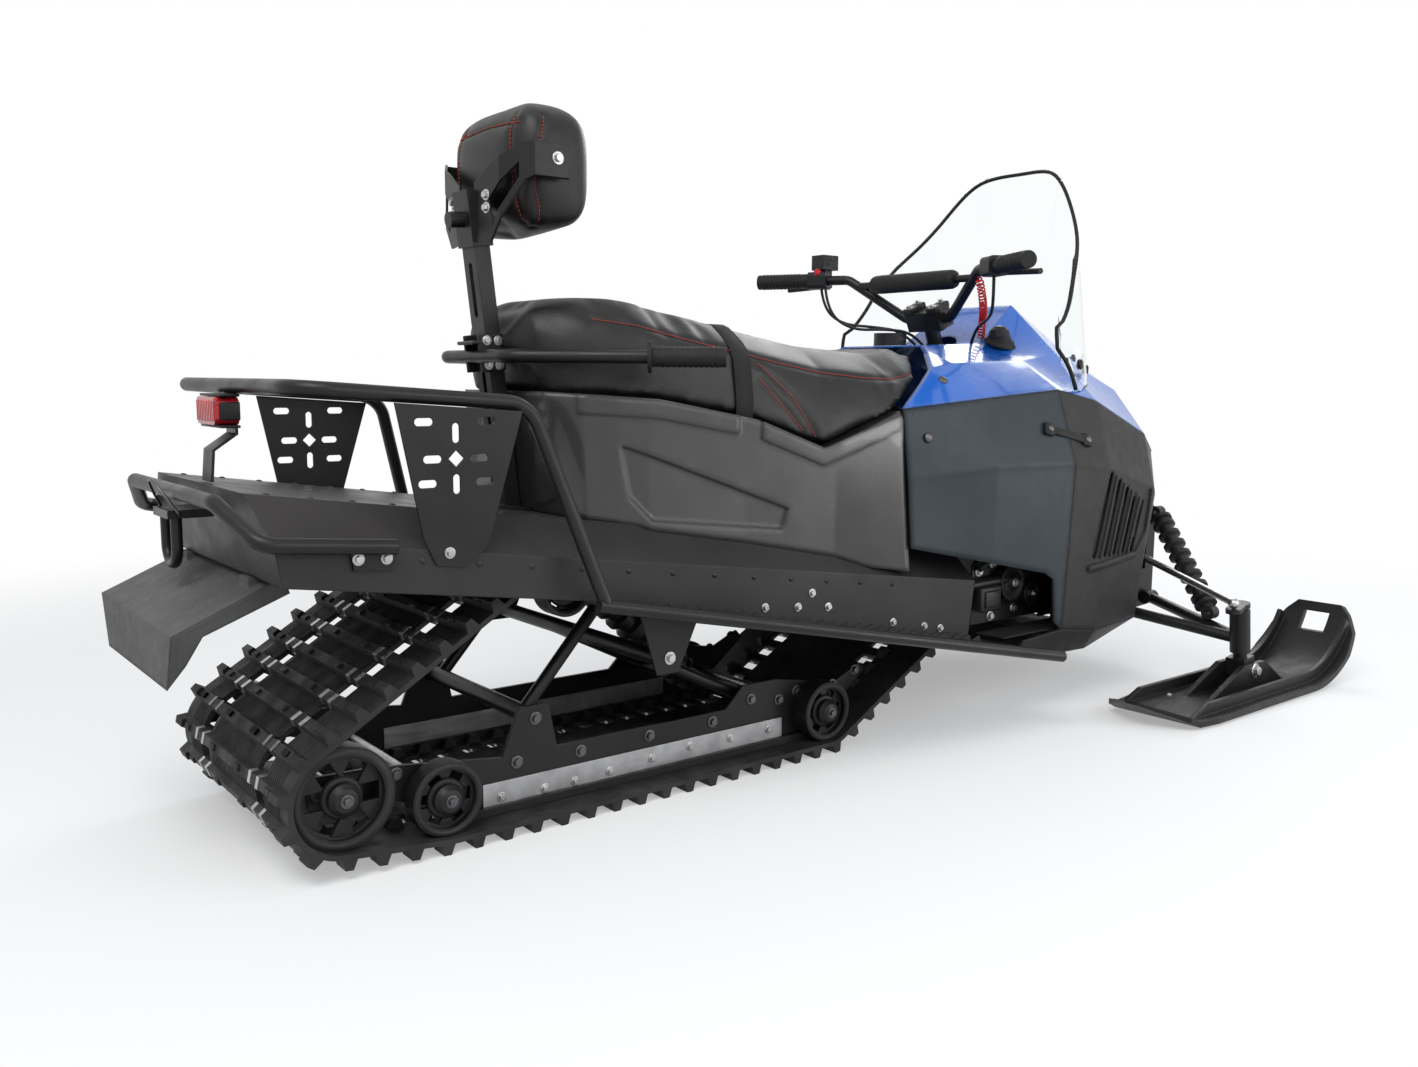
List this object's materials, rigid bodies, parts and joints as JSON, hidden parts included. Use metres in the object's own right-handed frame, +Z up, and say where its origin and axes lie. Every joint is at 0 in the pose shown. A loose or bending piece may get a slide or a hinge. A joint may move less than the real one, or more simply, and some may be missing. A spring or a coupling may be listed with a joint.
{
  "type": "utility snowmobile",
  "caption": "Two-seat utility snowmobile with a wide track on a slide-rail skid, steered skis, handlebar, windshield, long seat, adjustable backrest and rear rack.",
  "frame": {"origin": "on the snow, under the centre of the whole machine", "axes": "+X forward, towards the ski tips; +Y to the left; +Z up"},
  "size_m": [2.5982, 1.211, 1.195],
  "materials": {
    "black_coat": "satin powder coat",
    "track_rubber": "matte",
    "wheel_plastic": "satin",
    "bare_steel": "satin",
    "runner_plastic": "matte",
    "shock_coat": "satin",
    "engine_alloy": "cast",
    "blue_gloss": "gloss",
    "slate_plastic": "satin",
    "charcoal_plastic": "textured",
    "clear_pane": "clear",
    "seat_vinyl": "satin vinyl",
    "fairing_plastic": "satin",
    "webbing": "woven",
    "grip_rubber": "textured",
    "red_lens": "gloss",
    "flap_rubber": "textured",
    "ski_plastic": "satin"
  },
  "bodies": {
    "chassis": {"tunnel": "black_coat", "hanger_brackets": "black_coat", "skid_rails": "black_coat", "suspension_arms": "black_coat", "front_frame": "black_coat", "front_bumper": "black_coat", "backrest_post": "black_coat", "grab_bar": "black_coat", "rear_rack": "black_coat", "rack_plates": "black_coat", "rear_bumper": "black_coat", "tow_hitch": "black_coat", "lower_arms": "black_coat", "running_boards": "black_coat", "track": "track_rubber", "rear_idler_wheels": "wheel_plastic", "lower_idler_wheels": "wheel_plastic", "carrier_rollers": "wheel_plastic", "rail_beams": "bare_steel", "wheel_axles": "bare_steel", "drive_axle": "bare_steel", "slide_runners": "runner_plastic", "skid_shock": "shock_coat", "front_shocks": "shock_coat", "engine": "engine_alloy", "hood": "blue_gloss", "side_panels": "slate_plastic", "nose_panels": "charcoal_plastic", "belly_pan": "charcoal_plastic", "fuel_cap": "charcoal_plastic", "gear_lever": "charcoal_plastic", "windshield": "clear_pane", "headlamps": "clear_pane", "seat_cushion": "seat_vinyl", "seat_fairing": "fairing_plastic", "seat_strap": "webbing", "grab_grips": "grip_rubber", "tail_lamp": "red_lens", "snow_flap": "flap_rubber"},
    "steering": {"handlebar": "black_coat", "handlebar_pad": "seat_vinyl", "hand_grips": "grip_rubber", "bar_controls": "charcoal_plastic"},
    "right_ski": {"spindle_right": "bare_steel", "ski_right": "ski_plastic"},
    "left_ski": {"spindle_left": "bare_steel", "ski_left": "ski_plastic"},
    "right_tie_rod": {"tie_rod_right": "bare_steel"},
    "left_tie_rod": {"tie_rod_left": "bare_steel"},
    "backrest_slider": {"backrest_bracket": "black_coat"},
    "backrest": {"backrest_pad": "seat_vinyl"}
  },
  "joints": [
    {"name": "steering_turn", "type": "hinge", "parent": "chassis", "child": "steering", "pos_m": [0.37994, 0, 0.846], "axis": [-0.4226, 0, 0.9063], "range_deg": [-35, 35]},
    {"name": "right_ski_turn", "type": "hinge", "parent": "chassis", "child": "right_ski", "pos_m": [0.92094, -0.498, 0], "axis": [-0.134, 0, 0.991], "range_deg": [-27, 27]},
    {"name": "left_ski_turn", "type": "hinge", "parent": "chassis", "child": "left_ski", "pos_m": [0.92094, 0.498, 0], "axis": [-0.134, 0, 0.991], "range_deg": [-27, 27]},
    {"name": "right_tie_rod_ball", "type": "hinge", "parent": "right_ski", "child": "right_tie_rod", "pos_m": [0.84463, -0.508, 0.22107], "axis": [-0.134, 0, 0.991], "range_deg": [-27, 27]},
    {"name": "left_tie_rod_ball", "type": "hinge", "parent": "left_ski", "child": "left_tie_rod", "pos_m": [0.84463, 0.508, 0.22107], "axis": [-0.134, 0, 0.991], "range_deg": [-27, 27]},
    {"name": "backrest_height", "type": "slide", "parent": "chassis", "child": "backrest_slider", "axis": [-0.1158, 0, 0.9933], "range_m": [-0.08, 0.02]},
    {"name": "backrest_tilt", "type": "hinge", "parent": "backrest_slider", "child": "backrest", "pos_m": [-0.68006, 0, 1.053], "axis": [0, 1, 0], "range_deg": [-12, 4]}
  ],
  "couplings": [
    {"joint": "right_ski_turn", "follows": "steering_turn", "ratio": 0.75},
    {"joint": "right_tie_rod_ball", "follows": "steering_turn", "ratio": -0.75},
    {"joint": "left_ski_turn", "follows": "steering_turn", "ratio": 0.75},
    {"joint": "left_tie_rod_ball", "follows": "steering_turn", "ratio": -0.75}
  ]
}
